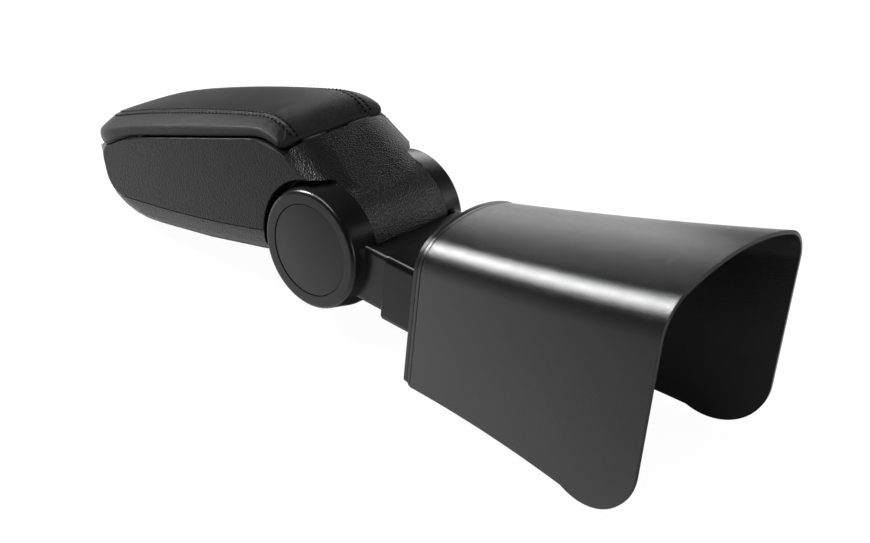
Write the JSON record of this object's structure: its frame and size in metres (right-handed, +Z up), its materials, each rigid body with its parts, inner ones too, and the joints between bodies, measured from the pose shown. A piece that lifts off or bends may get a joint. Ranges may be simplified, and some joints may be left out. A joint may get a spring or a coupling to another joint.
{
  "type": "car centre armrest",
  "caption": "Centre console armrest for a car: a hood that sits over the console carries a tilting storage box with a padded leather lid.",
  "frame": {"origin": "middle of the seat pad's underside, where the armrest stands on the console", "axes": "+X back along the hood towards its open end, +Z up, Y across the armrest; the padded arm reaches towards -X"},
  "size_m": [0.6462, 0.182, 0.204],
  "materials": {
    "hood_plastic": "satin black, very fine grain",
    "drum_plastic": "satin black, smooth",
    "sleeve_plastic": "gloss black",
    "box_plastic": "satin black, fine grain",
    "panel_plastic": "black with a moulded leather grain",
    "liner_plastic": "matt black",
    "lid_plastic": "matt black, unseen",
    "lid_leather": "black grained leather",
    "foam": "open-cell seat foam, unseen",
    "felt": "black felt",
    "black_rubber": "matt black rubber",
    "bracket_steel": "black coated steel",
    "zinc_steel": "zinc plated steel",
    "magnet": "dark ferrite",
    "bush_plastic": "natural acetal",
    "friction_lining": "brown friction lining"
  },
  "bodies": {
    "base": {"saddle_shell": "hood_plastic", "front_plate": "hood_plastic", "mount_bracket": "bracket_steel", "seat_pad": "black_rubber", "neck_bolts": "zinc_steel", "neck_sleeve": "sleeve_plastic", "yoke": "drum_plastic", "pivot_bolt": "zinc_steel", "pivot_nut": "zinc_steel", "disc_spring": "zinc_steel", "left_cap": "drum_plastic", "right_cap": "drum_plastic", "left_friction_washer": "friction_lining", "right_friction_washer": "friction_lining"},
    "arm": {"arm_shell": "box_plastic", "left_bush": "bush_plastic", "right_bush": "bush_plastic", "left_side_panel": "panel_plastic", "right_side_panel": "panel_plastic", "storage_liner": "liner_plastic", "felt_mat": "felt", "lid_bumpers": "black_rubber", "striker_plate": "zinc_steel", "lid_hinge_pins": "zinc_steel", "stop_pin": "zinc_steel"},
    "lid": {"lid_base": "lid_plastic", "lid_foam": "foam", "lid_cover": "lid_leather", "lid_trim": "liner_plastic", "lid_screws": "zinc_steel", "catch_magnet": "magnet"}
  },
  "joints": [
    {"name": "arm_tilt", "type": "hinge", "parent": "base", "child": "arm", "pos_m": [-0.1605, 0, -0.035], "axis": [0, 1, 0], "range_deg": [0, 68]},
    {"name": "lid_hinge", "type": "hinge", "parent": "arm", "child": "lid", "pos_m": [-0.20007, 0, 0.03788], "axis": [0, 1, 0], "range_deg": [0, 72]}
  ]
}
